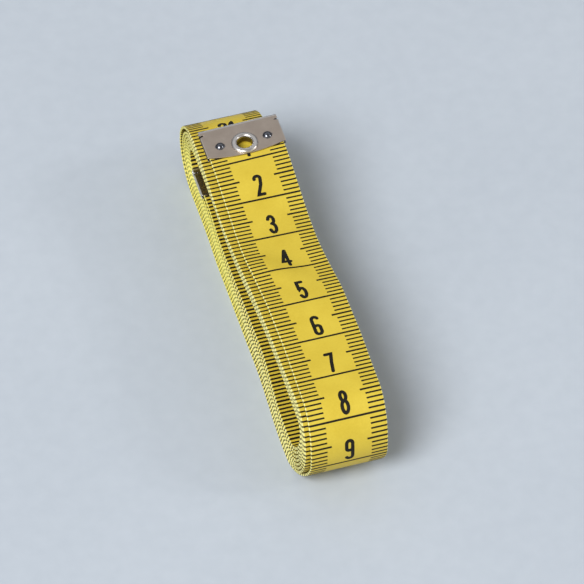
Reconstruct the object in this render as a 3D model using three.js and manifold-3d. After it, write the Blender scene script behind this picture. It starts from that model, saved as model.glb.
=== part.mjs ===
// A tailor's tape measure, 150 cm long, wound by hand into a flat hollow hank that lies on a table.
// Millimetres, +Z up. The hank's length runs along Y with the zero end at +Y, and the tape's width along X.
import * as THREE from "three";
import { mergeVertices } from "three/addons/utils/BufferGeometryUtils.js";
import Module from "manifold-3d";

// Tape
const TAPE_LENGTH = 1500;
const TAPE_WIDTH = 16;
const TAPE_THICKNESS = 0.35;

// Hank: runs of tape above and below a hollow, joined by round bends at both ends
const HANK_HEIGHT = 19.2;
const LAYERS = 8;
const LAYER_GAP = 0.44;
const LOOSE_BEND = 0.4; // how far the outermost far bend stands out from the bends inside it
const LOOSE_RUNS = 3; // runs that are longer by that much
const ZERO_SHORTFALL = 0.4; // how far the zero end stops before the start of that bend

// Saddle: the dip in the upper runs, deeper on the right-hand edge
const SADDLE_FROM_ZERO = 27.5;
const SADDLE_FAR_REACH = 18.5;
const SADDLE_NEAR_REACH = 26;
const SADDLE_DEPTH = 1.7;
const SADDLE_TILT = 0.17;

// Sideways shift of the tape along X, placed in legs: each turn has an upper run, a near bend, a lower run and
// a far bend. First the lead: [legs from the zero end, shift]
const LEAD_WANDER = [
  [0, 1.4],
  [0.36, 1],
  [0.69, 1.4],
  [1, 1.3],
  [1.54, 0.45],
];
// Then each turn alike: [legs into the turn, shift in the outermost turn, shift in the innermost]
const TURN_SWAY = [
  [0, -0.4, 0.15],
  [0.3, -0.95, 0.2],
  [0.8, -0.15, 0.65],
  [1, 0.1, 0.35],
  [2.05, -1.65, -1.1],
  [2.35, -0.95, 0.15],
  [2.7, -0.9, 0],
  [2.88, -0.6, 0.4],
];

// Free ends, in lengths that bend one after another
const LEAD_LENGTH = 72;
const LEAD_PARTS = 4;
const TAIL_LENGTH = 30;
const TAIL_OVERRUN = 2; // how far the inner end reaches past the start of the far bends
const TAIL_LIFT = 0.3; // what it climbs there to clear the bend round it
const CREASE_GAP = 0.3;
const END_RAMP = 16; // length over which an end climbs from its layer to the height of its clip

// Metal end clips, folded over the tape's ends
const CLIP_SHEET = 0.3;
const CLIP_OVERHANG = 0.2; // how far a clip stands past each edge of the tape
const CLIP_WIDTH = TAPE_WIDTH + 2 * CLIP_OVERHANG;
const CLIP_LENGTH = 7.4;
const CLIP_CROWN = 1.2;
const CLIP_CORNER = 0.5;
const CLIP_CLEARANCE = 0.05;
const CLIP_REST_GAP = 0.3;
const PIP_RADIUS = 0.9;
const PIP_HEIGHT = 0.45;
const PIP_SPACING = 10.2;
const PIP_FROM_FOLD = 5;
const NOTCH_RADIUS = 0.35;
const NOTCH_FROM_FOLD = 1;

// Eyelet: a rolled hollow rivet through the zero clip and the tape
const EYELET_BORE = 3.2;
const EYELET_WALL = 0.25;
const EYELET_TOP_FLANGE = 5.6;
const EYELET_TOP_RISE = 0.55;
const EYELET_FOOT_FLANGE = 5;
const EYELET_FOOT_DEPTH = 0.3;
const EYELET_CLEARANCE = 0.1;
const EYELET_FROM_FOLD = 5.7;

// Fineness
const RUN_STEPS = 10;
const BEND_STEPS = 10;
const FOLD_STEPS = 6;
const ROUND_STEPS = 32;
const RIM_STEPS = 8;
const POINT_MERGE = 1e-4;

const wasm = await Module();
wasm.setup();

// A closed geometry as a solid that can be cut and joined.
function solid(geometry) {
  const bare = geometry.clone();
  bare.deleteAttribute("normal");
  bare.deleteAttribute("uv");
  const merged = mergeVertices(bare, POINT_MERGE);
  return new wasm.Manifold(
    new wasm.Mesh({
      numProp: 3,
      vertProperties: merged.attributes.position.array,
      triVerts: new Uint32Array(merged.index.array),
    }),
  );
}

// A solid's surface as a geometry.
function surface(body) {
  const { vertProperties, triVerts } = body.getMesh();
  const geometry = new THREE.BufferGeometry();
  geometry.setAttribute("position", new THREE.BufferAttribute(vertProperties, 3));
  geometry.setIndex(new THREE.BufferAttribute(triVerts, 1));
  geometry.computeVertexNormals();
  return geometry;
}

// A cylinder along Z, centred on a point.
function post(radius, height, x, y, z) {
  const upright = new THREE.CylinderGeometry(radius, radius, height, ROUND_STEPS);
  return upright.rotateX(Math.PI / 2).translate(x, y, z);
}

// Levels of the layers, counted inwards from the outermost
const PITCH = TAPE_THICKNESS + LAYER_GAP;
const HALF_TAPE = TAPE_THICKNESS / 2;
const topLevel = (layer) => HANK_HEIGHT - HALF_TAPE - layer * PITCH;
const nextTopLevel = (layer) => topLevel(layer) - PITCH;
const bottomLevel = (layer) => HALF_TAPE + layer * PITCH;
const nearRadius = (layer) => (topLevel(layer) - bottomLevel(layer)) / 2;
const farRadius = (layer) => (nextTopLevel(layer) - bottomLevel(layer)) / 2;

// The straight runs take what the bends and the loose outer turn leave of the tape's length.
function runLength() {
  let bends = 0;
  for (let layer = 0; layer < LAYERS; layer++) {
    bends += Math.PI * nearRadius(layer);
    if (layer < LAYERS - 1) bends += Math.PI * farRadius(layer);
  }
  const extra = LOOSE_RUNS * LOOSE_BEND - ZERO_SHORTFALL + TAIL_OVERRUN;
  return (TAPE_LENGTH - bends - extra) / (2 * LAYERS);
}

const RUN_LENGTH = runLength();
const NEAR_Y = -RUN_LENGTH / 2;
const FAR_Y = RUN_LENGTH / 2;
const ZERO_Y = FAR_Y + LOOSE_BEND - ZERO_SHORTFALL;

// The tape's route from the zero end inwards, as a path in the plane of Y and Z.
function hankRoute() {
  const route = new THREE.Path();
  route.moveTo(ZERO_Y, topLevel(0));
  for (let layer = 0; layer < LAYERS; layer++) {
    const farY = layer === 0 ? FAR_Y + LOOSE_BEND : FAR_Y;
    const innermost = layer === LAYERS - 1;
    const nearMiddle = (topLevel(layer) + bottomLevel(layer)) / 2;
    const farMiddle = (nextTopLevel(layer) + bottomLevel(layer)) / 2;
    route.lineTo(NEAR_Y, topLevel(layer));
    route.absarc(NEAR_Y, nearMiddle, nearRadius(layer), Math.PI / 2, 1.5 * Math.PI);
    route.lineTo(innermost ? farY + TAIL_OVERRUN : farY, bottomLevel(layer));
    if (!innermost) route.absarc(farY, farMiddle, farRadius(layer), -Math.PI / 2, Math.PI / 2);
  }
  return route;
}

const ROUTE = hankRoute();
const ROUTE_LENGTH = ROUTE.getLength();
const LEGS = ROUTE.curves.filter((curve) => curve.getLength() > POINT_MERGE);
const LEGS_PER_TURN = 4;
const TURN_LENGTH = 2 * RUN_LENGTH + Math.PI * (nearRadius(0) + farRadius(0));

// How far a clip's lower leaf, or what stands below it, reaches under the middle of the tape
const FOLD_INNER = HALF_TAPE + CLIP_CLEARANCE;
const FOLD_OUTER = FOLD_INNER + CLIP_SHEET;
const EYELET_REACH = FOLD_OUTER + CLIP_CLEARANCE + EYELET_FOOT_DEPTH;
const LAYER_ROOM = PITCH - HALF_TAPE;
const ZERO_RISE = EYELET_REACH + CLIP_REST_GAP - LAYER_ROOM;
const TAIL_RISE = FOLD_OUTER + CLIP_REST_GAP - LAYER_ROOM + TAIL_LIFT;
const CLIP_REACH = CLIP_LENGTH + CLIP_CROWN + CLIP_REST_GAP;

// Climb of an end: whole over its clip, then down a smooth ramp to its layer.
function endClimb(fromEnd, rise) {
  return rise * (1 - THREE.MathUtils.smoothstep(fromEnd, CLIP_REACH, CLIP_REACH + END_RAMP));
}

// Depth of the saddle at a place on the upper runs, where x is measured from the tape's middle.
function saddle(x, y) {
  const away = y - (ZERO_Y - SADDLE_FROM_ZERO);
  const reach = Math.min(1, Math.abs(away) / (away > 0 ? SADDLE_FAR_REACH : SADDLE_NEAR_REACH));
  const side = 1 + (SADDLE_TILT * x) / (TAPE_WIDTH / 2);
  return SADDLE_DEPTH * side * (0.5 + 0.5 * Math.cos(Math.PI * reach));
}

// The whole wander as one list: the lead's, then the sway of each turn.
function wanderPoints() {
  const points = [...LEAD_WANDER];
  const leadLegs = points[points.length - 1][0];
  for (let turn = 0; turn < LAYERS; turn++)
    for (const [leg, outermost, innermost] of TURN_SWAY) {
      const at = turn * LEGS_PER_TURN + leg;
      const inwards = at / (LAYERS * LEGS_PER_TURN);
      if (at > leadLegs) points.push([at, THREE.MathUtils.lerp(outermost, innermost, inwards)]);
    }
  return points;
}

const WANDER = wanderPoints();

// Legs from the zero end to a distance, the last one in part.
function legsAt(distance) {
  let before = 0;
  for (const [leg, curve] of LEGS.entries()) {
    const length = curve.getLength();
    if (distance < before + length) return leg + (distance - before) / length;
    before += length;
  }
  return LEGS.length;
}

// Sideways shift of the tape at a distance from the zero end.
function wander(distance) {
  const legs = legsAt(distance);
  const next = WANDER.findIndex(([at]) => at > legs);
  if (next < 0) return WANDER[WANDER.length - 1][1];
  const [fromLeg, fromShift] = WANDER[next - 1];
  const [toLeg, toShift] = WANDER[next];
  const ease = THREE.MathUtils.smoothstep(legs, fromLeg, toLeg);
  return THREE.MathUtils.lerp(fromShift, toShift, ease);
}

// The middle of the tape at a distance from the zero end, with the direction that its printed face looks in.
function tapeAt(distance) {
  const share = distance / ROUTE_LENGTH;
  const point = ROUTE.getPoint(share);
  const tangent = ROUTE.getTangent(share);
  const face = new THREE.Vector3(0, tangent.y, -tangent.x);
  const middle = new THREE.Vector3(wander(distance), point.x, point.y);
  middle.z += endClimb(distance, ZERO_RISE) + endClimb(ROUTE_LENGTH - distance, TAIL_RISE);
  const onTop = face.z > 0 ? 1 : 0;
  return { distance, middle, face, onTop };
}

// Distances at which the tape has a section: even steps along each run and round each bend, and where the
// ends leave their clips.
function sectionDistances() {
  const list = [CLIP_REACH, ROUTE_LENGTH - CLIP_REACH];
  let start = 0;
  for (const curve of LEGS) {
    const length = curve.getLength();
    const steps = curve.isLineCurve ? RUN_STEPS : BEND_STEPS;
    for (let step = 0; step < steps; step++) list.push(start + (length * step) / steps);
    start += length;
  }
  return list.sort((one, other) => one - other);
}

const SECTIONS = sectionDistances();

// The four corners of the tape's section at a place: outer left, outer right, inner right, inner left.
function sectionCorners({ middle, face, onTop }) {
  const corners = [
    [-1, 1],
    [1, 1],
    [1, -1],
    [-1, -1],
  ];
  return corners.map(([side, out]) => {
    const corner = middle.clone().addScaledVector(face, out * HALF_TAPE);
    corner.x += (side * TAPE_WIDTH) / 2;
    corner.z -= onTop * saddle((side * TAPE_WIDTH) / 2, middle.y);
    return corner;
  });
}

// A length of tape between two distances from the zero end, as one closed strip.
function tapeStrip(from, to) {
  const between = SECTIONS.filter((distance) => distance > from + CREASE_GAP && distance < to - CREASE_GAP);
  const rings = [from, ...between, to].map((distance) => sectionCorners(tapeAt(distance)));
  const sides = rings[0].length;
  const index = [];
  for (let ring = 0; ring < rings.length - 1; ring++)
    for (let side = 0; side < sides; side++) {
      const next = (side + 1) % sides;
      const [a, b] = [ring * sides + side, ring * sides + next];
      index.push(a, a + sides, b + sides, a, b + sides, b);
    }
  const last = (rings.length - 1) * sides;
  index.push(0, 1, 2, 0, 2, 3);
  index.push(last, last + 2, last + 1, last, last + 3, last + 2);
  const geometry = new THREE.BufferGeometry().setFromPoints(rings.flat());
  geometry.setIndex(index);
  geometry.computeVertexNormals();
  return geometry;
}

// Least gap of the wound tape to itself, measured between the middles of its sections, turn against turn.
function leastGap() {
  const places = SECTIONS.map(tapeAt);
  let least = Infinity;
  for (const one of places)
    for (const other of places) {
      if (other.distance - one.distance < TURN_LENGTH / 4) continue;
      const across = Math.hypot(one.middle.y - other.middle.y, one.middle.z - other.middle.z);
      least = Math.min(least, across - TAPE_THICKNESS);
    }
  return least;
}

// A list of points without those that repeat the one before.
function distinct(points) {
  return points.filter((point, k) => k === 0 || point.distanceTo(points[k - 1]) > POINT_MERGE);
}

// A sheet folded round the tape's end, with its fold at Y = 0 and its two leaves reaching towards -Y.
function clipGeometry(withEyelet) {
  const reach = CLIP_LENGTH + CLIP_CROWN;
  const fold = new THREE.Shape();
  fold.moveTo(-reach, FOLD_OUTER);
  fold.lineTo(-FOLD_OUTER, FOLD_OUTER);
  fold.absarc(-FOLD_OUTER, 0, FOLD_OUTER, Math.PI / 2, -Math.PI / 2, true);
  fold.lineTo(-reach, -FOLD_OUTER);
  fold.lineTo(-reach, -FOLD_INNER);
  fold.lineTo(-FOLD_OUTER, -FOLD_INNER);
  fold.absarc(-FOLD_OUTER, 0, FOLD_INNER, -Math.PI / 2, Math.PI / 2, false);
  fold.lineTo(-reach, FOLD_INNER);
  const plain = { bevelEnabled: false, curveSegments: FOLD_STEPS };
  const bent = new THREE.ExtrudeGeometry(fold, { ...plain, depth: CLIP_WIDTH });
  bent.rotateY(Math.PI / 2).rotateX(Math.PI / 2).translate(-CLIP_WIDTH / 2, 0, 0);

  const half = CLIP_WIDTH / 2;
  const plan = new THREE.Shape();
  plan.moveTo(-half, -CLIP_LENGTH);
  plan.quadraticCurveTo(0, -CLIP_LENGTH - 2 * CLIP_CROWN, half, -CLIP_LENGTH);
  plan.lineTo(half, -CLIP_CORNER);
  plan.quadraticCurveTo(half, 0, half - CLIP_CORNER, 0);
  plan.lineTo(-half + CLIP_CORNER, 0);
  plan.quadraticCurveTo(-half, 0, -half, -CLIP_CORNER);
  const height = 4 * FOLD_OUTER;
  const outline = new THREE.ExtrudeGeometry(plan, { ...plain, depth: height });
  outline.translate(0, 0, -height / 2);

  let clip = solid(bent).intersect(solid(outline));
  for (const side of [-1, 1]) {
    const pip = pipGeometry().translate((side * PIP_SPACING) / 2, -PIP_FROM_FOLD, FOLD_OUTER);
    clip = clip.add(solid(pip));
    clip = clip.subtract(solid(post(NOTCH_RADIUS, height, side * half, -NOTCH_FROM_FOLD, 0)));
  }
  if (withEyelet) clip = clip.subtract(solid(eyeletHole(height)));
  return surface(clip);
}

// A low dome along Z with a root that sinks half way into the clip's sheet.
function pipGeometry() {
  const outline = new THREE.Path();
  outline.moveTo(0, -CLIP_SHEET / 2);
  outline.lineTo(PIP_RADIUS, -CLIP_SHEET / 2);
  outline.lineTo(PIP_RADIUS, 0);
  outline.absellipse(0, 0, PIP_RADIUS, PIP_HEIGHT, 0, Math.PI / 2);
  const profile = distinct(outline.getPoints(RIM_STEPS));
  profile[profile.length - 1].x = 0;
  return new THREE.LatheGeometry(profile, ROUND_STEPS).rotateX(Math.PI / 2);
}

// The hole for the eyelet's barrel, measured from the clip's fold.
function eyeletHole(height) {
  const radius = EYELET_BORE / 2 + EYELET_WALL + EYELET_CLEARANCE;
  return post(radius, height, 0, -EYELET_FROM_FOLD, 0);
}

// The eyelet about its own axis: bore, domed upper flange, barrel and shallow foot flange.
function eyeletGeometry() {
  const bore = EYELET_BORE / 2;
  const barrel = bore + EYELET_WALL;
  const seat = FOLD_OUTER + CLIP_CLEARANCE;
  const rim = new THREE.Path();
  const domeHalf = (EYELET_TOP_FLANGE / 2 - bore) / 2;
  const footHalf = (EYELET_FOOT_FLANGE / 2 - bore) / 2;
  rim.moveTo(bore, -seat);
  rim.lineTo(bore, seat);
  rim.absellipse(bore + domeHalf, seat, domeHalf, EYELET_TOP_RISE, Math.PI, 0, true);
  rim.lineTo(barrel, seat);
  rim.lineTo(barrel, -seat);
  rim.lineTo(bore + 2 * footHalf, -seat);
  rim.absellipse(bore + footHalf, -seat, footHalf, EYELET_FOOT_DEPTH, 0, -Math.PI, true);
  const profile = distinct(rim.getPoints(RIM_STEPS));
  profile[profile.length - 1] = profile[0].clone();
  return new THREE.LatheGeometry(profile.reverse(), ROUND_STEPS).rotateX(Math.PI / 2);
}

const TAPE = new THREE.MeshStandardMaterial({ color: 0xe0c945, roughness: 0.45 });
const CLIP_STEEL = new THREE.MeshStandardMaterial({ color: 0x9a8d83, roughness: 0.35, metalness: 0.9 });
const EYELET_STEEL = new THREE.MeshStandardMaterial({ color: 0xc9c7c4, roughness: 0.22, metalness: 1 });

function piece(name, geometry, material) {
  const mesh = new THREE.Mesh(geometry, material);
  mesh.name = name;
  return mesh;
}

// A group that turns about a crease across the tape, hung in its parent group.
function crease(name, distance, parent) {
  const group = new THREE.Group();
  const { middle } = tapeAt(distance);
  group.name = name;
  group.userData.at = middle;
  group.position.copy(middle).sub(parent.userData.at);
  parent.add(group);
  return group;
}

// A piece made in the hank's own place, put into a group that is hung elsewhere.
function addInPlace(group, mesh) {
  const { x, y, z } = group.userData.at;
  mesh.geometry.translate(-x, -y, -z);
  group.add(mesh);
}

const hank = new THREE.Group();
hank.userData.at = new THREE.Vector3();
const HALF_CREASE = CREASE_GAP / 2;
const TAIL_START = ROUTE_LENGTH - TAIL_LENGTH;
hank.add(piece("tape_winding", tapeStrip(LEAD_LENGTH + HALF_CREASE, TAIL_START - HALF_CREASE), TAPE));

// The free lead on top of the hank, from the near bend to the zero end
const LEAD_STEP = LEAD_LENGTH / LEAD_PARTS;
const zero = tapeAt(0).middle;
let lead = hank;
for (let part = 1; part <= LEAD_PARTS; part++) {
  const start = LEAD_LENGTH - (part - 1) * LEAD_STEP;
  const last = part === LEAD_PARTS;
  const end = last ? FOLD_OUTER : start - LEAD_STEP + HALF_CREASE;
  lead = crease(`lead_crease_${part}`, start, lead);
  let strip = tapeStrip(end, start - HALF_CREASE);
  if (last) {
    const hole = eyeletHole(2 * PITCH).translate(zero.x, zero.y, zero.z);
    strip = surface(solid(strip).subtract(solid(hole)));
  }
  addInPlace(lead, piece(`tape_lead_${part}`, strip, TAPE));
}
const zeroClip = clipGeometry(true).translate(zero.x, zero.y, zero.z);
addInPlace(lead, piece("zero_clip", zeroClip, CLIP_STEEL));
const eyelet = eyeletGeometry().translate(zero.x, zero.y - EYELET_FROM_FOLD, zero.z);
addInPlace(lead, piece("eyelet", eyelet, EYELET_STEEL));

// The free tail inside the hollow, at the tape's other end
const tail = crease("tail_crease", TAIL_START, hank);
const tailEnd = tapeAt(ROUTE_LENGTH).middle;
const innerClip = clipGeometry(false).translate(tailEnd.x, tailEnd.y, tailEnd.z);
addInPlace(tail, piece("tape_tail", tapeStrip(TAIL_START + HALF_CREASE, ROUTE_LENGTH - FOLD_OUTER), TAPE));
addInPlace(tail, piece("inner_clip", innerClip, CLIP_STEEL));

console.log(`least gap of the winding to itself ${leastGap().toFixed(3)} mm`);

// The part's origin is the middle of its footprint.
const box = new THREE.Box3().setFromObject(hank, true);
hank.position.set(-(box.min.x + box.max.x) / 2, -(box.min.y + box.max.y) / 2, -box.min.z);
const tapeMeasure = new THREE.Group();
tapeMeasure.name = "tape_measure";
tapeMeasure.add(hank);

export default tapeMeasure;
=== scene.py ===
import math

import bmesh
import bpy
import numpy as np
from mathutils import Matrix, Vector


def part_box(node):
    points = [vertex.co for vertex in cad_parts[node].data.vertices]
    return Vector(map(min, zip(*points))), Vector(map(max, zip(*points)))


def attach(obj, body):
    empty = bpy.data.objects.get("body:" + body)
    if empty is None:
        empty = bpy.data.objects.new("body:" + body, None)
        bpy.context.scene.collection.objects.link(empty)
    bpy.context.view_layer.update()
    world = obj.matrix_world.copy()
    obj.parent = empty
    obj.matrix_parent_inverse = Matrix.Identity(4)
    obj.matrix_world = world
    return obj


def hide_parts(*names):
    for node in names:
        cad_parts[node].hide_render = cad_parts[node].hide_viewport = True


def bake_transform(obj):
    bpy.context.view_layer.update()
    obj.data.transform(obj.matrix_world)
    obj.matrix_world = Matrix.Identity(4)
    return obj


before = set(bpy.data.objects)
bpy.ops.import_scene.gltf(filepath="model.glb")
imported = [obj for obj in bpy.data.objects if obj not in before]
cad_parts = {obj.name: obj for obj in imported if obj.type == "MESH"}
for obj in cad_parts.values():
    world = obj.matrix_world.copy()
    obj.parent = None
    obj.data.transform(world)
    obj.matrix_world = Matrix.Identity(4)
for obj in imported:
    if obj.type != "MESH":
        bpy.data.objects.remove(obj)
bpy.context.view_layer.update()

# A tailor's tape measure wound into a flat hollow hank that lies on a table.
# Metres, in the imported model's frame: the hank's length runs along Y with the zero end at +Y,
# the tape's width along X, and +Z is up. Distances along the tape count from its zero end.
MM = 0.001
WINDING_LOW, WINDING_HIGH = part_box("tape_winding")
ZERO_CLIP_LOW, ZERO_CLIP_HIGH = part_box("zero_clip")
INNER_CLIP_LOW, INNER_CLIP_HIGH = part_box("inner_clip")

# Tape
TAPE_WIDTH = 16 * MM
TAPE_THICKNESS = 0.56 * MM
HALF_WIDTH, HALF_TAPE = TAPE_WIDTH / 2, TAPE_THICKNESS / 2
EDGE_ROUND = 0.16 * MM
EDGE_MARGIN = 0.5 * MM
RUN_STEP, BEND_STEP, END_STEP = 1 * MM, 0.5 * MM, 0.02 * MM
LEAD_FACE_STEP = 1 * MM
SAME_STATION = 0.001 * MM

# Hank. The outermost far bend is loose and has slack, the next ones are tucked in, and the far bends droop.
HANK_HEIGHT = WINDING_HIGH.z - WINDING_LOW.z
LAYERS = 8
PITCH = 0.78 * MM
LOOSE_BEND, BEND_SLACK, BEND_TUCK = 0.4 * MM, 1.7 * MM, 0.4 * MM
DROOP_Y, DROOP = 33 * MM, 1.3 * MM
NEAR_Y = WINDING_LOW.y + HANK_HEIGHT / 2
TAIL_OVERRUN = 2 * MM
FAR_Y = INNER_CLIP_HIGH.y - TAIL_OVERRUN
ZERO_SLIP = 0.25 * MM
ZERO_Y = ZERO_CLIP_HIGH.y - ZERO_SLIP

# Saddle in the upper runs. Where the lead rises out of it, the lead has a slanting buckle and a low hump.
SADDLE_Y = ZERO_CLIP_HIGH.y - 27.5 * MM
SADDLE_FAR_REACH, SADDLE_NEAR_REACH = 18.5 * MM, 26 * MM
SADDLE_DEPTH = 1.7 * MM
SADDLE_TILT = 0.12
BUCKLE_Y, BUCKLE_REACH = ZERO_Y - 39.5 * MM, 4.5 * MM
BUCKLE_LIFT, BUCKLE_HEIGHT, BUCKLE_HALF = 0.2 * MM, 0.4 * MM, 4.2 * MM
BUCKLE_SLANT = 0.5
HUMP_Y, HUMP_REACH, HUMP_HEIGHT = ZERO_Y - 50 * MM, 5 * MM, 0.28 * MM

# Sideways shift of the tape along X in millimetres, placed in legs: each turn has an upper run, a near bend,
# a lower run and a far bend. First the lead (legs from the zero end, shift), then each turn alike
# (legs into the turn, shift in the outermost turn, shift in the innermost). A small stray is added to them,
# from waves of (share, pace, start).
LEGS_PER_TURN = 4
LEAD_WANDER = [
    (0, 1.4), (0.27, 1.22), (0.46, 0.95), (0.68, 1.5), (0.81, 1.62), (1, 1.35), (1.54, 0.45),
]
TURN_SWAY = [
    (0, -0.4, 0.15), (0.3, -0.95, 0.2), (0.8, -0.15, 0.65), (1, 0.1, 0.35),
    (2.05, -1.65, -1.1), (2.35, -0.95, 0.15), (2.7, -0.9, 0), (2.88, -0.6, 0.4),
]
STRAY, STRAY_LEGS = 0.06 * MM, 4.8
STRAY_WAVES = [(1, 1, 0), (0.6, 2.3, 1)]
MIDDLE_X = (ZERO_CLIP_LOW.x + ZERO_CLIP_HIGH.x) / 2 - LEAD_WANDER[0][1] * MM

# Clips
CLIP_SHEET = 0.3 * MM
CLIP_CLEARANCE = 0.02 * MM
CLIP_SPREAD = 0.22 * MM
CLIP_HALF_WIDTH = (ZERO_CLIP_HIGH.x - ZERO_CLIP_LOW.x) / 2 + CLIP_SPREAD
FOLD_OVERRUN = 0.45 * MM
CLIP_LENGTH, CLIP_CROWN = 7.85 * MM, 1.2 * MM
FOLD_IN = HALF_TAPE + CLIP_CLEARANCE
FOLD_OUT = FOLD_IN + CLIP_SHEET
CLIP_CORNER, CORNER_INSET = 0.3 * MM, 0.5
CLIP_COLUMNS, FOLD_ROWS = 65, 13
PLAIN_ROWS, FINE_ROWS = np.linspace(0, 0.84, 34), np.linspace(0.85, 1, 17)
NOTCH_DEPTH, NOTCH_HALF, NOTCH_FROM_FOLD = 0.9 * MM, 0.3 * MM, 1.65 * MM
TAPE_INSET = 1.7 * MM
PIP_RADIUS, PIP_HEIGHT = 0.98 * MM, 0.6 * MM
PIP_SPACING, PIP_FROM_FOLD = 10.2 * MM, 5.45 * MM
PIP_TIP, PIP_STEPS = 0.02, 12
CLIP_EDGE_BEVEL, BEVEL_ANGLE = 0.07 * MM, math.radians(50)
SAME_PLACE = 0.0001 * MM
# Width of the painted highlight along the fold; width and share of the wear along the side edges
FOLD_SHEEN, EDGE_WEAR, EDGE_WEAR_SHARE = 0.9 * MM, 0.3 * MM, 0.3
# Share of painted shade over the whole inner clip, which lies in the hollow's shade
INNER_PAINTED_SHADE = 0.5
# How far out the pips' painted dark reflection reaches
PIP_PAINTED_REACH = 1.01 * PIP_RADIUS
SIDE_FINISH = CLIP_HALF_WIDTH - 1.5 * CLIP_EDGE_BEVEL
# Nearer the middle of the fold than this, the inner side of the sheet is painted with shade
INSIDE_SHADE_LEVEL = FOLD_OUT - 0.7 * CLIP_SHEET
END_RAMP = 16 * MM
ZERO_DROP = 0.2 * MM
ZERO_ROLL = math.radians(2)

# Eyelet
EYELET_BORE = 1.6 * MM
EYELET_FLANGE, EYELET_RISE = 2.85 * MM, 0.55 * MM
EYELET_INNER_ROLL, EYELET_OUTER_ROLL = 0.45 * MM, 0.62 * MM
EYELET_FOOT, EYELET_FOOT_DEPTH = 2.5 * MM, 0.3 * MM
EYELET_FROM_FOLD = 6.15 * MM
HOLE_CUT = 2.1 * MM
TAPE_HOLE, PUNCH_REACH = 1.75 * MM, 3 * HALF_TAPE
EYELET_LIP, EYELET_BEDDING = 0.1 * MM, 0.02 * MM
EYELET_BARREL = HOLE_CUT - 0.2 * MM
# Within this radius the eyelet's bore is painted with shade
BORE_SHADE_RADIUS = 1.02 * EYELET_BORE

# Printed scale
INK_THICKNESS = 0.016 * MM
MARK_WIDTH, LINE_WIDTH = 0.36 * MM, 0.42 * MM
REVERSE_BOLD = 1.3
MARK_INSET = EDGE_ROUND
EDGE_INK_SHARE, EDGE_INK_BLUR = 0.39, 0.04
RAGGED_INK = 0.1 * MM
# The ink on the edges turns fainter towards the far end, sooner low down than high up
FAINT_WAY, FAINT_FROM, FAINT_TO = (0, 1, -3), -18 * MM, 8 * MM
SHORT_MARK, MIDDLE_MARK = 3.4 * MM, 4.3 * MM
LINE_EVERY, MIDDLE_EVERY = 10, 5
LEAD_BAR, BAR_OVERLAP = 0.7 * MM, 1.02
DIGIT_HEIGHT, DIGIT_WIDTH, DIGIT_STROKE = 5.15 * MM, 1.98 * MM, 0.72 * MM
DIGIT_GAP = 0.5 * MM
DIGIT_STEP = 0.3 * MM
CAP_STEPS = 5
SHARPEST_TURN = 0.6
STROKE_STACK = 0.3
SAME_INK = 0.00001 * MM
DIGIT_MIDDLE = 6.75 * MM
CENTIMETRE = 10 * MM
OUTER_NUMBERS = 31
INNER_NUMBERS = 24

# Where the tape is cut into stretches, one crease each, chosen between the printed marks
LEAD_CUTS = [80.5 * MM, 60.5 * MM, 40.5 * MM, 20.5 * MM]
ZERO_STIFF = 9.5 * MM
TAIL_CUT, TAIL_STIFF = 40.5 * MM, 18.5 * MM


def top_level(layer):
    return HANK_HEIGHT - HALF_TAPE - layer * PITCH


def bottom_level(layer):
    return HALF_TAPE + INK_THICKNESS + layer * PITCH


def route_legs():
    """Legs of the route, each (length, y, z, radius, way): runs start at a point, bends turn about one."""
    legs, y = [], ZERO_Y
    for layer in range(LAYERS):
        top, bottom, inner = top_level(layer), bottom_level(layer), top_level(layer + 1)
        near, far = (top - bottom) / 2, (inner - bottom) / 2
        far_y = FAR_Y + (LOOSE_BEND if layer == 0 else -BEND_TUCK * (1 - layer / (LAYERS - 1)))
        legs.append((y - NEAR_Y, y, top, 0, -1))
        legs.append((math.pi * near, NEAR_Y, (top + bottom) / 2, near, -1))
        innermost = layer == LAYERS - 1
        legs.append((far_y - NEAR_Y + (TAIL_OVERRUN if innermost else 0), NEAR_Y, bottom, 0, 1))
        if not innermost:
            slack = BEND_SLACK if layer == 0 else 0
            legs.append((math.pi * far + slack, far_y, (inner + bottom) / 2, far, 1))
        y = far_y
    return np.array(legs)


LEGS = route_legs()
LEG_ENDS = np.cumsum(LEGS[:, 0])
LEG_STARTS = LEG_ENDS - LEGS[:, 0]
ROUTE_LENGTH = LEG_ENDS[-1]
SCALE_LENGTH = round(ROUTE_LENGTH / CENTIMETRE) * CENTIMETRE
ZERO_RISE = ZERO_CLIP_LOW.z + FOLD_OUT - ZERO_DROP - top_level(0)
TAIL_RISE = INNER_CLIP_LOW.z + FOLD_OUT - bottom_level(LAYERS - 1)


def smooth(x, low, high):
    t = np.clip((x - low) / (high - low), 0, 1)
    return t * t * (3 - 2 * t)


def wander_points():
    """The whole wander as rows (legs from the zero end, shift): the lead's, then the sway of each turn."""
    points = list(LEAD_WANDER)
    for turn in range(LAYERS):
        for leg, outermost, innermost in TURN_SWAY:
            at = turn * LEGS_PER_TURN + leg
            if at > LEAD_WANDER[-1][0]:
                points.append((at, outermost + (innermost - outermost) * at / (LAYERS * LEGS_PER_TURN)))
    return np.array(points)


WANDER_AT, WANDER_SHIFT = wander_points().T


def leg_at(s):
    return np.clip(np.searchsorted(LEG_ENDS, s), 0, len(LEGS) - 1)


def wander(s):
    """Sideways shift of the tape at distances s."""
    leg = leg_at(s)
    legs = leg + (s - LEG_STARTS[leg]) / LEGS[leg, 0]
    step = np.clip(np.searchsorted(WANDER_AT, legs, side="right") - 1, 0, len(WANDER_AT) - 2)
    share = smooth(legs, WANDER_AT[step], WANDER_AT[step + 1])
    turns = math.tau * legs / STRAY_LEGS
    waves = sum(part * np.sin(pace * turns + start) for part, pace, start in STRAY_WAVES)
    shift = WANDER_SHIFT[step] + (WANDER_SHIFT[step + 1] - WANDER_SHIFT[step]) * share
    return shift * MM + STRAY * smooth(legs, 1, LEGS_PER_TURN) * waves


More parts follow.
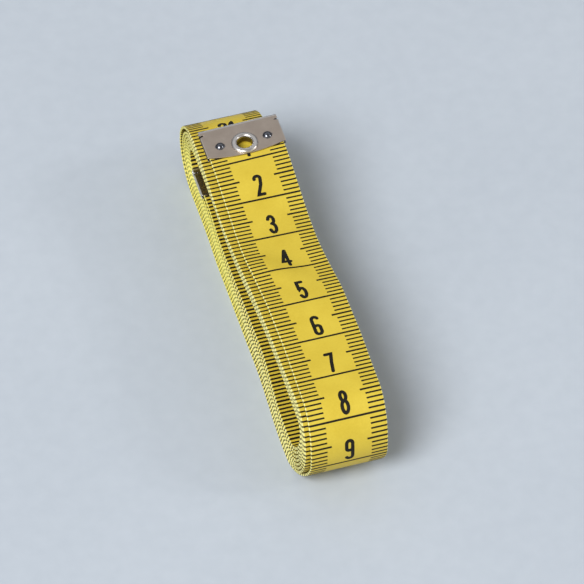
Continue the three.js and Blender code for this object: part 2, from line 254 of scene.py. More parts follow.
def saddle(u, y):
    """Depth of the saddle in the upper runs."""
    away = y - SADDLE_Y
    reach = np.clip(np.abs(away) / np.where(away > 0, SADDLE_FAR_REACH, SADDLE_NEAR_REACH), 0, 1)
    return SADDLE_DEPTH * (1 + SADDLE_TILT * u / HALF_WIDTH) * (0.5 + 0.5 * np.cos(math.pi * reach))


def far_droop(y, z):
    """How far the loose far bends sag under their own weight, most at their tops."""
    return DROOP * smooth(y, DROOP_Y, WINDING_HIGH.y) * np.clip(z - HALF_TAPE, 0, None) / HANK_HEIGHT


def lead_swell(u, y):
    """How far the lead stands up from the layers under it, in its buckle and its hump."""
    across = (u - BUCKLE_SLANT * (BUCKLE_Y - y)) / BUCKLE_HALF
    wave = BUCKLE_LIFT - BUCKLE_HEIGHT * across * np.exp(0.5 - 0.5 * across ** 2)
    hump = HUMP_HEIGHT * np.exp(-((y - HUMP_Y) / HUMP_REACH) ** 2)
    return wave * np.exp(-((y - BUCKLE_Y) / BUCKLE_REACH) ** 2) + hump


def end_climb(s, u):
    """What an end climbs to the height of its clip. The zero end is also rolled a little sideways."""
    flat = CLIP_LENGTH + CLIP_CROWN
    zero = (ZERO_RISE + u * math.tan(ZERO_ROLL)) * (1 - smooth(s, flat, flat + END_RAMP))
    return zero + TAIL_RISE * (1 - smooth(ROUTE_LENGTH - s, flat, flat + END_RAMP))


def on_tape(s, u, h):
    """Points at distances s, u across from the tape's middle line and h out from its middle."""
    s, u, h = np.broadcast_arrays(np.asarray(s, float), u, h)
    leg = leg_at(s)
    length, y0, z0, radius, way = (column.T for column in LEGS[leg].T)
    along = s - LEG_STARTS[leg]
    bend = radius > 0
    turn = np.where(bend, math.pi * along / length, 0)
    out_y, out_z = way * np.sin(turn), -way * np.cos(turn)
    y = y0 + np.where(bend, radius * out_y, way * along)
    z = z0 + np.where(bend, radius * out_z, 0) + end_climb(s, u)
    z = z - np.where(out_z > 0, saddle(u, y), 0) + np.where(leg == 0, lead_swell(u, y), -far_droop(y, z))
    return np.stack([MIDDLE_X + wander(s) + u, y + h * out_y, z + h * out_z], axis=-1)


def new_piece(name, mesh, *materials):
    piece = bpy.data.objects.new(name, mesh)
    bpy.context.scene.collection.objects.link(piece)
    for material in materials:
        mesh.materials.append(material)
    return piece


def mesh_from(name, points, faces, smooth_faces=True):
    mesh = bpy.data.meshes.new(name)
    mesh.from_pydata([tuple(p) for p in points], [], faces)
    mesh.polygons.foreach_set("use_smooth", [smooth_faces] * len(mesh.polygons))
    mesh.update()
    return mesh


def face_outwards(mesh, merge=0):
    """Turns a mesh's faces outwards, once its points that are no further apart than merge are joined."""
    work = bmesh.new()
    work.from_mesh(mesh)
    if merge:
        bmesh.ops.remove_doubles(work, verts=work.verts, dist=merge)
    bmesh.ops.recalc_face_normals(work, faces=work.faces)
    work.to_mesh(mesh)
    work.free()


def loft(rings, closed_ends=True):
    """Points and faces of a skin through rings of equal count, capped at both ends."""
    count, sides = len(rings), len(rings[0])
    faces = [
        (r * sides + k, r * sides + (k + 1) % sides, (r + 1) * sides + (k + 1) % sides, (r + 1) * sides + k)
        for r in range(count - 1) for k in range(sides)
    ]
    if closed_ends:
        faces.append(tuple(range(sides))[::-1])
        faces.append(tuple((count - 1) * sides + k for k in range(sides)))
    return np.concatenate(rings), faces


# Shader building


def node(tree, kind, at, **values):
    made = tree.nodes.new(kind)
    made.location = at
    for key, value in values.items():
        setattr(made, key, value)
    return made


def link(tree, source, target):
    tree.links.new(source, target)


def node_group(name, inputs, outputs):
    tree = bpy.data.node_groups.new(name, "ShaderNodeTree")
    for label, kind, value in inputs:
        socket = tree.interface.new_socket(label, in_out="INPUT", socket_type=kind)
        if value is not None:
            socket.default_value = value
    for label, kind in outputs:
        tree.interface.new_socket(label, in_out="OUTPUT", socket_type=kind)
    return tree, node(tree, "NodeGroupInput", (-900, 0)), node(tree, "NodeGroupOutput", (700, 0))


def mottle_group():
    """Soft uneven patches over fine grain: a value round one half."""
    tree, given, result = node_group(
        "mottle",
        [("Vector", "NodeSocketVector", None), ("Patch scale", "NodeSocketFloat", 200.0),
         ("Grain scale", "NodeSocketFloat", 4000.0), ("Grain share", "NodeSocketFloat", 0.3)],
        [("Value", "NodeSocketFloat")],
    )
    patch = node(tree, "ShaderNodeTexNoise", (-600, 150))
    patch.inputs["Detail"].default_value = 3
    grain = node(tree, "ShaderNodeTexNoise", (-600, -150))
    grain.inputs["Detail"].default_value = 2
    mix = node(tree, "ShaderNodeMix", (0, 0), data_type="FLOAT")
    link(tree, given.outputs["Vector"], patch.inputs["Vector"])
    link(tree, given.outputs["Vector"], grain.inputs["Vector"])
    link(tree, given.outputs["Patch scale"], patch.inputs["Scale"])
    link(tree, given.outputs["Grain scale"], grain.inputs["Scale"])
    link(tree, given.outputs["Grain share"], mix.inputs[0])
    link(tree, patch.outputs["Fac"], mix.inputs[2])
    link(tree, grain.outputs["Fac"], mix.inputs[3])
    link(tree, mix.outputs[0], result.inputs["Value"])
    return tree


def weave_group():
    """Plain weave of threads along and across, read from a flat map in metres: a height from 0 to 1."""
    tree, given, result = node_group(
        "weave",
        [("Vector", "NodeSocketVector", None), ("Threads per metre", "NodeSocketFloat", 1800.0)],
        [("Height", "NodeSocketFloat")],
    )
    parts = node(tree, "ShaderNodeSeparateXYZ", (-700, 0))
    link(tree, given.outputs["Vector"], parts.inputs[0])
    waves = []
    for row, axis in enumerate(("X", "Y")):
        turns = node(tree, "ShaderNodeMath", (-500, -200 * row), operation="MULTIPLY")
        link(tree, parts.outputs[axis], turns.inputs[0])
        link(tree, given.outputs["Threads per metre"], turns.inputs[1])
        angle = node(tree, "ShaderNodeMath", (-320, -200 * row), operation="MULTIPLY")
        angle.inputs[1].default_value = math.pi
        link(tree, turns.outputs[0], angle.inputs[0])
        wave = node(tree, "ShaderNodeMath", (-140, -200 * row), operation="SINE")
        link(tree, angle.outputs[0], wave.inputs[0])
        waves.append(wave)
    product = node(tree, "ShaderNodeMath", (60, 0), operation="MULTIPLY")
    link(tree, waves[0].outputs[0], product.inputs[0])
    link(tree, waves[1].outputs[0], product.inputs[1])
    height = node(tree, "ShaderNodeMath", (260, 0), operation="MULTIPLY_ADD")
    height.inputs[1].default_value = height.inputs[2].default_value = 0.5
    link(tree, product.outputs[0], height.inputs[0])
    link(tree, height.outputs[0], result.inputs["Height"])
    return tree


MOTTLE = mottle_group()
MOTTLE_LOW, MOTTLE_HIGH = 0.3, 0.7
WEAVE = weave_group()


def new_material(name, **values):
    """A material with those of the shader's values that are alike all over, by the names of its sockets."""
    material = bpy.data.materials.new(name)
    material.use_nodes = True
    tree = material.node_tree
    shader = tree.nodes["Principled BSDF"]
    for label, value in values.items():
        shader.inputs[label.replace("_", " ")].default_value = value
    return material, tree, shader


def place_group(tree, group, vector, at, **values):
    made = node(tree, "ShaderNodeGroup", at, node_tree=group)
    link(tree, vector, made.inputs["Vector"])
    for label, value in values.items():
        made.inputs[label.replace("_", " ")].default_value = value
    return made


def mottle(tree, vector, at, patch, grain, share):
    """The mottle's value, with its patches and grain to the metre and the grain's share."""
    made = place_group(tree, MOTTLE, vector, at, Patch_scale=patch, Grain_scale=grain, Grain_share=share)
    return made.outputs["Value"]


def tint(tree, factor, low, high, at):
    """A colour that goes from low to high with a value. Either is a colour or another node's output."""
    mix = node(tree, "ShaderNodeMix", at, data_type="RGBA")
    for socket, colour in zip(mix.inputs[6:8], (low, high)):
        if isinstance(colour, tuple):
            socket.default_value = (*colour, 1)
        else:
            link(tree, colour, socket)
    link(tree, factor, mix.inputs[0])
    return mix.outputs[2]


def span(tree, value, low, high, at):
    """A value that goes from low to high over the middle of the mottle's range."""
    made = node(tree, "ShaderNodeMapRange", at)
    made.inputs["From Min"].default_value, made.inputs["From Max"].default_value = MOTTLE_LOW, MOTTLE_HIGH
    made.inputs["To Min"].default_value, made.inputs["To Max"].default_value = low, high
    link(tree, value, made.inputs["Value"])
    return made.outputs["Result"]


def bump(tree, height, shader, at, strength, distance):
    made = node(tree, "ShaderNodeBump", at)
    made.inputs["Strength"].default_value = strength
    made.inputs["Distance"].default_value = distance
    link(tree, height, made.inputs["Height"])
    link(tree, made.outputs["Normal"], shader.inputs["Normal"])


def coated_yellow():
    """The tape's faces: a satin yellow coat over a fine weave."""
    material, tree, shader = new_material("coated_yellow", Specular_IOR_Level=0.4)
    place = node(tree, "ShaderNodeTexCoord", (-1200, 0))
    patches = mottle(tree, place.outputs["Object"], (-900, 200), patch=160, grain=2600, share=0.35)
    spread = span(tree, patches, 0, 1, (-650, 200))
    yellow = tint(tree, spread, (0.625, 0.455, 0.034), (0.715, 0.54, 0.052), (-400, 200))
    link(tree, yellow, shader.inputs["Base Color"])
    link(tree, span(tree, patches, 0.42, 0.56, (-650, -50)), shader.inputs["Roughness"])
    threads = place_group(tree, WEAVE, place.outputs["UV"], (-900, -250), Threads_per_metre=1700)
    bump(tree, threads.outputs["Height"], shader, (-400, -250), strength=0.12, distance=0.03 * MM)
    return material


def cut_edge():
    """The tape's slit edges: pale fibres between the coats, and the cut ends of the millimetre marks.

    The ink is fainter and the fibres are yellower low down at the far end.
    """
    material, tree, shader = new_material("cut_edge", Roughness=0.6)
    place = node(tree, "ShaderNodeTexCoord", (-1200, 0))
    fibres = mottle(tree, place.outputs["Object"], (-900, 200), patch=1500, grain=6000, share=0.5)
    spread = span(tree, fibres, 0, 1, (-650, 200))
    pale = tint(tree, spread, (0.82, 0.73, 0.18), (0.93, 0.87, 0.38), (-400, 200))
    flat = node(tree, "ShaderNodeSeparateXYZ", (-900, 500))
    link(tree, place.outputs["UV"], flat.inputs[0])
    ragged = node(tree, "ShaderNodeMath", (-700, 450), operation="MULTIPLY_ADD")
    ragged.inputs[1].default_value = RAGGED_INK
    link(tree, fibres, ragged.inputs[0])
    link(tree, flat.outputs["X"], ragged.inputs[2])
    millimetres = node(tree, "ShaderNodeMath", (-520, 500), operation="DIVIDE")
    millimetres.inputs[1].default_value = MM
    link(tree, ragged.outputs[0], millimetres.inputs[0])
    between = node(tree, "ShaderNodeMath", (-340, 500), operation="PINGPONG")
    between.inputs[1].default_value = 0.5
    link(tree, millimetres.outputs[0], between.inputs[0])
    clear = node(tree, "ShaderNodeMapRange", (-160, 500), interpolation_type="SMOOTHSTEP")
    clear.inputs["From Min"].default_value = EDGE_INK_SHARE / 2 - EDGE_INK_BLUR
    clear.inputs["From Max"].default_value = EDGE_INK_SHARE / 2 + EDGE_INK_BLUR
    link(tree, between.outputs[0], clear.inputs["Value"])
    far_below = node(tree, "ShaderNodeVectorMath", (-650, 750), operation="DOT_PRODUCT")
    far_below.inputs[1].default_value = FAINT_WAY
    link(tree, place.outputs["Object"], far_below.inputs[0])
    faint = node(tree, "ShaderNodeMapRange", (-400, 750), interpolation_type="SMOOTHSTEP")
    faint.inputs["From Min"].default_value, faint.inputs["From Max"].default_value = FAINT_FROM, FAINT_TO
    link(tree, far_below.outputs["Value"], faint.inputs["Value"])
    ink = tint(tree, faint.outputs["Result"], (0.10, 0.095, 0.02), (0.42, 0.40, 0.075), (-160, 750))
    yellowed = tint(tree, faint.outputs["Result"], pale, (0.84, 0.76, 0.17), (-160, 250))
    dotted = tint(tree, clear.outputs["Result"], ink, yellowed, (40, 300))
    link(tree, dotted, shader.inputs["Base Color"])
    threads = place_group(tree, WEAVE, place.outputs["UV"], (-900, -250), Threads_per_metre=3400)
    bump(tree, threads.outputs["Height"], shader, (-400, -250), strength=0.25, distance=0.03 * MM)
    return material


def scale_ink():
    """The printed marks and numbers, a thin black ink."""
    material, tree, shader = new_material("scale_ink", Specular_IOR_Level=0.2)
    place = node(tree, "ShaderNodeTexCoord", (-1200, 0))
    density = mottle(tree, place.outputs["Object"], (-900, 200), patch=900, grain=9000, share=0.5)
    spread = span(tree, density, 0, 1, (-650, 200))
    black = tint(tree, spread, (0.006, 0.006, 0.005), (0.018, 0.015, 0.008), (-400, 200))
    link(tree, black, shader.inputs["Base Color"])
    link(tree, span(tree, density, 0.45, 0.62, (-650, -50)), shader.inputs["Roughness"])
    return material


def dulled_tin():
    """The clips: tinned sheet, rolled along the tape's width and dulled, with a painted highlight along the
    fold, wear along the side edges, painted shade inside the fold and over a shaded clip, and a painted dark
    reflection on the pips.
    """
    material, tree, shader = new_material("dulled_tin", Metallic=1.0)
    place = node(tree, "ShaderNodeTexCoord", (-1400, 0))
    stretched = node(tree, "ShaderNodeMapping", (-1150, -250))
    stretched.inputs["Scale"].default_value = (0.06, 1, 1)
    link(tree, place.outputs["Object"], stretched.inputs["Vector"])
    patches = mottle(tree, place.outputs["Object"], (-900, 200), patch=350, grain=5000, share=0.3)
    rolled = mottle(tree, stretched.outputs["Vector"], (-900, -250), patch=6000, grain=12000, share=0.5)
    spread = span(tree, patches, 0, 1, (-650, 200))
    sheen_and_wear = node(tree, "ShaderNodeAttribute", (-900, 500), attribute_name="sheen_and_wear")
    painted_shade = node(tree, "ShaderNodeAttribute", (-900, 700), attribute_name="painted_shade")
    dull = tint(tree, spread, (0.52, 0.43, 0.355), (0.62, 0.525, 0.44), (-400, 200))
    # A pale colour for the painted highlight along the fold and for the wear along the side edges
    sheened_and_worn = tint(tree, sheen_and_wear.outputs["Fac"], dull, (0.88, 0.87, 0.86), (-150, 300))
    # Painted shade: a dark colour and a low roughness where the attribute is set; on the pips it is a painted
    # dark reflection
    metal = tint(tree, painted_shade.outputs["Fac"], sheened_and_worn, (0.185, 0.19, 0.215), (50, 400))
    link(tree, metal, shader.inputs["Base Color"])
    brushed = span(tree, rolled, 0.32, 0.46, (-650, -50))
    polish = node(tree, "ShaderNodeMix", (-150, -50), data_type="FLOAT")
    polish.inputs[3].default_value = 0.17
    link(tree, painted_shade.outputs["Fac"], polish.inputs[0])
    link(tree, brushed, polish.inputs[2])
    link(tree, polish.outputs[0], shader.inputs["Roughness"])
    bump(tree, rolled, shader, (-400, -250), strength=0.15, distance=0.01 * MM)
    return material


def bright_plate():
    """The eyelet: bright plated brass with faint handling marks and painted shade in the bore."""
    material, tree, shader = new_material("bright_plate", Metallic=1.0)
    place = node(tree, "ShaderNodeTexCoord", (-1200, 0))
    marks = mottle(tree, place.outputs["Object"], (-900, 200), patch=700, grain=7000, share=0.4)
    spread = span(tree, marks, 0, 1, (-650, 200))
    plate = tint(tree, spread, (0.68, 0.645, 0.61), (0.78, 0.745, 0.71), (-400, 200))
    painted_shade = node(tree, "ShaderNodeAttribute", (-400, 450), attribute_name="painted_shade")
    # Painted shade in the bore
    metal = tint(tree, painted_shade.outputs["Fac"], plate, (0.13, 0.10, 0.06), (-150, 300))
    link(tree, metal, shader.inputs["Base Color"])
    link(tree, span(tree, marks, 0.26, 0.36, (-650, -50)), shader.inputs["Roughness"])
    return material


YELLOW, EDGE, INK = coated_yellow(), cut_edge(), scale_ink()
TIN, PLATE = dulled_tin(), bright_plate()


# Lengths of tape


def tape_section(face_step):
    """The tape's section as rows (u, h), down its right edge and up its left, with steps across its faces."""
    corner = [
        (HALF_WIDTH - EDGE_ROUND * (1 - math.sin(a)), HALF_TAPE - EDGE_ROUND * (1 - math.cos(a)))
        for a in np.radians((0, 30, 60, 90))
    ]
    margin = HALF_WIDTH - EDGE_MARGIN
    right = [(margin, HALF_TAPE), *corner, *[(u, -h) for u, h in reversed(corner)], (margin, -HALF_TAPE)]
    steps = round(2 * margin / face_step)
    right += [(u, -HALF_TAPE) for u in np.linspace(margin, -margin, steps + 1)[1:-1]]
    return np.array(right + [(-u, -h) for u, h in right])


LEAD_SECTION, WOUND_SECTION = tape_section(LEAD_FACE_STEP), tape_section(TAPE_WIDTH)
EDGE_SIDES = range(1, 8)


def stations(start, end):
    """Distances at which a stretch has a section: closer together round the bends."""
    marks = {start, start + END_STEP, end - END_STEP, end}
    for (length, _, _, radius, _), first in zip(LEGS, LEG_STARTS):
        step = BEND_STEP if radius > 0 else RUN_STEP
        low, high = max(start, first), min(end, first + length)
        marks.update(k * step for k in range(math.ceil(low / step), math.floor(high / step) + 1))
    found = sorted(m for m in marks if start <= m <= end)
    return [m for k, m in enumerate(found) if k == 0 or m - found[k - 1] > SAME_STATION]


def tape_stretch(name, start, end):
    """A length of tape with rounded pale edges, and a flat map of it in metres."""
    section = LEAD_SECTION if end <= LEAD_CUTS[0] else WOUND_SECTION
    places = np.array(stations(start, end))
    rings = on_tape(places[:, None], section[None, :, 0], section[None, :, 1])
    points, faces = loft(list(rings))
    mesh = mesh_from(name, points, faces)
    sides = len(section)
    lengths = np.linalg.norm(np.diff(section, axis=0, append=section[:1]), axis=1)
    round_section = np.concatenate([[0], np.cumsum(lengths)])
    flat_map = mesh.uv_layers.new(name="flat_map")
    for polygon in mesh.polygons:
        if polygon.loop_total != 4:
            polygon.use_smooth = False
            continue
        ring, side = divmod(polygon.index, sides)
        polygon.material_index = int(side % (sides // 2) in EDGE_SIDES)
        corners = ((ring, side), (ring, side + 1), (ring + 1, side + 1), (ring + 1, side))
        for loop, (r, k) in zip(polygon.loop_indices, corners):
            flat_map.data[loop].uv = (places[r], round_section[k])
    face_outwards(mesh)
    return new_piece(name, mesh, YELLOW, EDGE)


# Marks and numbers


def marks_tree():
    """Geometry nodes that put a printed bar on both faces of the tape at each point of a guide.

    A guide point is the middle of a bar, and has its turn and its extent along and across the bar.
    """
    tree = bpy.data.node_groups.new("scale_marks", "GeometryNodeTree")
    tree.interface.new_socket("Guide", in_out="INPUT", socket_type="NodeSocketGeometry")
    for label, value in (("Half tape", HALF_TAPE), ("Ink thickness", INK_THICKNESS)):
        tree.interface.new_socket(label, in_out="INPUT", socket_type="NodeSocketFloat").default_value = value
    tree.interface.new_socket("Ink", in_out="INPUT", socket_type="NodeSocketMaterial")
    tree.interface.new_socket("Marks", in_out="OUTPUT", socket_type="NodeSocketGeometry")
    given, result = node(tree, "NodeGroupInput", (-1200, 0)), node(tree, "NodeGroupOutput", (1000, 0))
    extent = node(tree, "ShaderNodeCombineXYZ", (-900, 200))
    extent.inputs["X"].default_value = extent.inputs["Y"].default_value = 1
    link(tree, given.outputs["Ink thickness"], extent.inputs["Z"])
    bar = node(tree, "GeometryNodeMeshCube", (-700, 200))
    link(tree, extent.outputs[0], bar.inputs["Size"])
    lift = node(tree, "ShaderNodeMath", (-900, -100), operation="MULTIPLY_ADD")
    lift.inputs[1].default_value = 0.5
    link(tree, given.outputs["Ink thickness"], lift.inputs[0])
    link(tree, given.outputs["Half tape"], lift.inputs[2])
    both = node(tree, "GeometryNodeJoinGeometry", (0, 100))
    for row, face in enumerate((1, -1)):
        height = node(tree, "ShaderNodeMath", (-700, -200 * row), operation="MULTIPLY")
        height.inputs[1].default_value = face
        link(tree, lift.outputs[0], height.inputs[0])
        place = node(tree, "ShaderNodeCombineXYZ", (-500, -200 * row))
        link(tree, height.outputs[0], place.inputs["Z"])
        moved = node(tree, "GeometryNodeTransform", (-250, -200 * row))
        link(tree, bar.outputs["Mesh"], moved.inputs["Geometry"])
        link(tree, place.outputs[0], moved.inputs["Translation"])
        moved.inputs["Scale"].default_value = (1, 1 if face > 0 else REVERSE_BOLD, 1)
        link(tree, moved.outputs["Geometry"], both.inputs[0])
    turn = node(tree, "GeometryNodeInputNamedAttribute", (0, -200), data_type="QUATERNION")
    turn.inputs["Name"].default_value = "turn"
    size = node(tree, "GeometryNodeInputNamedAttribute", (0, -400), data_type="FLOAT_VECTOR")
    size.inputs["Name"].default_value = "extent"
    copies = node(tree, "GeometryNodeInstanceOnPoints", (300, 0))
    link(tree, given.outputs["Guide"], copies.inputs["Points"])
    link(tree, both.outputs[0], copies.inputs["Instance"])
    link(tree, turn.outputs["Attribute"], copies.inputs["Rotation"])
    link(tree, size.outputs["Attribute"], copies.inputs["Scale"])
    real = node(tree, "GeometryNodeRealizeInstances", (550, 0))
    link(tree, copies.outputs["Instances"], real.inputs[0])
    inked = node(tree, "GeometryNodeSetMaterial", (780, 0))
    link(tree, real.outputs[0], inked.inputs["Geometry"])
    link(tree, given.outputs["Ink"], inked.inputs["Material"])
    link(tree, inked.outputs[0], result.inputs[0])
    return tree


MARKS = marks_tree()


def tape_axes(s, u):
    """Axes of the printed face at a place: across to the right, back towards the zero end, and outwards."""
    step = 0.02 * MM
    across = on_tape(s, u + step, 0) - on_tape(s, u - step, 0)
    back = on_tape(s - step, u, 0) - on_tape(s + step, u, 0)
    x = Vector(across).normalized()
    z = x.cross(Vector(back)).normalized()
    return x, z.cross(x), z


def mark_bars(step):
    """Bars of a millimetre step, each (from, to, width): one line at a centimetre, else one at each edge."""
    edge = HALF_WIDTH - MARK_INSET
    if step % LINE_EVERY == 0:
        return [(-edge, edge, LINE_WIDTH)]
    length, width = (MIDDLE_MARK, LINE_WIDTH) if step % MIDDLE_EVERY == 0 else (SHORT_MARK, MARK_WIDTH)
    return [(-edge, length - HALF_WIDTH, width), (HALF_WIDTH - length, edge, width)]


def mark_guide(name, start, end):
    """Middles of the bars of a stretch. On the lead a bar is made of short lengths that follow its buckle."""
    points, turns, extents = [], [], []
    longest = LEAD_BAR if end <= LEAD_CUTS[0] else TAPE_WIDTH
    for step in range(math.ceil(start / MM), math.floor(end / MM) + 1):
        for low, high, width in mark_bars(step):
            count = math.ceil((high - low) / longest)
            length = (high - low) / count
            for k in range(count):
                s, u = step * MM, low + (k + 0.5) * length
                points.append(on_tape(s, u, 0))
                turns.extend(Matrix(tape_axes(s, u)).transposed().to_quaternion())
                extents.extend((length * (BAR_OVERLAP if count > 1 else 1), width, 1))
    mesh = mesh_from(name, points, [])
    mesh.attributes.new("turn", "QUATERNION", "POINT").data.foreach_set("value", turns)
    mesh.attributes.new("extent", "FLOAT_VECTOR", "POINT").data.foreach_set("vector", extents)
    return new_piece(name, mesh)


def printed_marks(name, start, end):
    """The millimetre, half-centimetre and centimetre marks of a stretch, as one mesh."""
    guide = mark_guide(name + "_guide", start, end)
    modifier = guide.modifiers.new("marks", "NODES")
    modifier.node_group = MARKS
    for socket in MARKS.interface.items_tree:
        if socket.in_out == "INPUT" and socket.name == "Ink":
            modifier[socket.identifier] = INK
    bpy.context.view_layer.update()
    made = guide.evaluated_get(bpy.context.evaluated_depsgraph_get())
    mesh = bpy.data.meshes.new_from_object(made)
    bpy.data.objects.remove(guide)
    mesh.name = name
    return new_piece(name, mesh)


def arc(x, y, rx, ry, start, end, steps=9):
    turns = np.radians(np.linspace(start, end, steps))
    return [(x + rx * math.cos(a), y + ry * math.sin(a)) for a in turns]


PUNCHED_ONE = "1 with its upper part punched out by the eyelet"


def digit_strokes():
    """Middle lines of the digits' strokes, each (points, closed), about the middle of the digit."""
    a, b = (DIGIT_WIDTH - DIGIT_STROKE) / 2, (DIGIT_HEIGHT - DIGIT_STROKE) / 2
    bowl = b - a
    waist = 0.1 * b
    six = (
        arc(0, bowl, a, a, 20, 180) + [(-a, 0)]
        + arc(0, -bowl, a, a, 180, 360) + arc(0, -0.22 * b, a, 0.8 * a, 0, 165)
    )
    bar = -0.48 * b
    upper, lower = (b - waist) / 2, (b + waist) / 2
    return {
        "0": [(arc(0, bowl, a, a, 0, 180) + arc(0, -bowl, a, a, 180, 360), True)],
        "1": [([(-0.75 * a, 0.62 * b), (0.1 * a, b), (0.1 * a, 0), (0.1 * a, -b)], False)],
        PUNCHED_ONE: [([(0.1 * a, -0.55 * b), (0.1 * a, -0.75 * b), (0.1 * a, -b)], False)],
        "2": [(arc(0, bowl, a, a, 185, -15) + [(0.62 * a, 0.05 * b), (-a, -b), (0, -b), (a, -b)], False)],
        "3": [
            (arc(0, waist + upper, 0.92 * a, upper, 165, -90), False),
            (arc(0, waist - lower, a, lower, 90, -165), False),
        ],
        "4": [
            ([(0.4 * a, b), (-0.45 * a, 0.26 * b), (-1.3 * a, bar), (0, bar), (1.2 * a, bar)], False),
            ([(0.5 * a, b), (0.5 * a, 0), (0.5 * a, -b)], False),
        ],
        "5": [
            ([(0.85 * a, b), (-0.75 * a, b), (-0.8 * a, 0.5 * b)]
             + arc(0, -0.38 * b, a, 0.62 * b, 145, -150, 12), False),
        ],
        "6": [(six, False)],
        "7": [([(-a, b), (0, b), (0.95 * a, b), (0.3 * a, 0), (-0.1 * a, -b)], False)],
        "8": [
            (arc(0, waist + upper, 0.88 * a, upper, 0, 345, 18), True),
            (arc(0, waist - lower, a, lower, 0, 345, 18), True),
        ],
        "9": [([(-x, -y) for x, y in six], False)],
    }


STROKES = digit_strokes()
NARROW = {"1": 0.55}


def fine_line(line, closed):
    """The line with points no further apart than the digit step, so that a stroke follows the tape."""
    line = np.array(line)
    fine = []
    for start, end in zip(line, np.roll(line, -1, axis=0) if closed else line[1:]):
        count = max(1, math.ceil(np.linalg.norm(end - start) / DIGIT_STEP))
        fine.extend(start + (end - start) * k / count for k in range(count))
    return np.array(fine if closed else [*fine, line[-1]])


def stroke_ribbon(line, closed):
    """Left and right borders of a stroke of even width along a line, with round ends where it is open."""
    line = fine_line(line, closed)
    ahead, behind = np.roll(line, -1, axis=0), np.roll(line, 1, axis=0)
    if not closed:
        ahead[-1], behind[0] = 2 * line[-1] - line[-2], 2 * line[0] - line[1]
    forth, back = ahead - line, line - behind
    forth /= np.linalg.norm(forth, axis=1)[:, None]
    back /= np.linalg.norm(back, axis=1)[:, None]
    way = forth + back
    way /= np.linalg.norm(way, axis=1)[:, None]
    reach = DIGIT_STROKE / 2 / np.maximum((way * forth).sum(axis=1), SHARPEST_TURN)
    side = np.stack([-way[:, 1], way[:, 0]], axis=1) * reach[:, None]
    left, right = line + side, line - side
    if closed:
        return np.concatenate([left, left[:1]]), np.concatenate([right, right[:1]])
    caps = []
    opening = np.radians(np.linspace(0, 90, CAP_STEPS))
    closing = np.radians(np.linspace(90, 0, CAP_STEPS))
    for end, outwards, turn in ((0, -way[0], opening[1:]), (-1, way[-1], closing[:-1])):
        normal = np.array([-way[end][1], way[end][0]])
        tip = line[end] + DIGIT_STROKE / 2 * np.outer(np.cos(turn), outwards)
        half = DIGIT_STROKE / 2 * np.outer(np.sin(turn), normal)
        caps.append((tip + half, tip - half))
    left = np.concatenate([caps[0][0], left[1:-1], caps[1][0]])
    right = np.concatenate([caps[0][1], right[1:-1], caps[1][1]])
    return left, right


def digit_width(digit):
    return DIGIT_WIDTH * NARROW.get(digit, 1)


def add_number(points, faces, number, middle, face):
    """Adds a number's strokes, as thin slabs that follow the tape. Face is 1 outside and -1 inside."""
    text = str(number)
    wide = sum(digit_width(d) for d in text) + DIGIT_GAP * (len(text) - 1)
    x = -wide / 2
    for digit in text:
        centre = x + digit_width(digit) / 2
        drawn = PUNCHED_ONE if face > 0 and middle < CENTIMETRE else digit
        for layer, (line, closed) in enumerate(STROKES[drawn]):
            left, right = stroke_ribbon(line, closed)
            base, top = HALF_TAPE, HALF_TAPE + INK_THICKNESS * (1 + STROKE_STACK * layer)
            first = sum(len(p) for p in points)
            for border, height in ((left, top), (right, top), (right, base), (left, base)):
                s, u = middle - face * border[:, 1], centre + border[:, 0]
                points.append(on_tape(s, u, face * height))
            count = len(left)
            for k in range(count - 1):
                for row in range(4):
                    a, b = first + row * count + k, first + (row + 1) % 4 * count + k
                    faces.append((a, a + 1, b + 1, b))
            if not closed:
                faces.append(tuple(first + row * count for row in range(4)))
                faces.append(tuple(first + row * count + count - 1 for row in range(4)))
        x += digit_width(digit) + DIGIT_GAP


def numbers_between(start, end):
    """Numbers of a stretch, where that side of the tape can be seen, each (number, distance, face)."""
    found = []
    for n in range(1, round(SCALE_LENGTH / CENTIMETRE) + 1):
        outer = (n - 1) * CENTIMETRE + DIGIT_MIDDLE
        inner = SCALE_LENGTH - outer
        if n <= OUTER_NUMBERS:
            found.append((n, outer, 1))
        if n <= INNER_NUMBERS or CLIP_LENGTH < inner < LEAD_CUTS[0]:
            found.append((n, inner, -1))
    return [item for item in found if start < item[1] <= end]


def printed_numbers(name, start, end):
    points, faces = [], []
    for number, middle, face in numbers_between(start, end):
        add_number(points, faces, number, middle, face)
    mesh = mesh_from(name, np.concatenate(points), faces, smooth_faces=False)
    face_outwards(mesh, merge=SAME_INK)
    return new_piece(name, mesh, INK)


def crease_point(s):
    return Vector(on_tape(s, 0, 0))


def cut_eyelet_hole(piece):
    """Cuts the hole for the eyelet's barrel through the tape."""
    middle = crease_point(0) - Vector((0, EYELET_FROM_FOLD - FOLD_OVERRUN, 0))
    shape, skin = loft(lathe([(TAPE_HOLE, -PUNCH_REACH), (TAPE_HOLE, PUNCH_REACH)]))
    punch_mesh = mesh_from("punch", shape + np.array(middle), skin)
    face_outwards(punch_mesh)
    punch = new_piece("punch", punch_mesh)
    cut = piece.modifiers.new("hole", "BOOLEAN")
    cut.object, cut.operation, cut.solver = punch, "DIFFERENCE", "EXACT"
    bpy.context.view_layer.update()
    made = bpy.data.meshes.new_from_object(piece.evaluated_get(bpy.context.evaluated_depsgraph_get()))
    piece.modifiers.clear()
    piece.data = made
    bpy.data.objects.remove(punch)


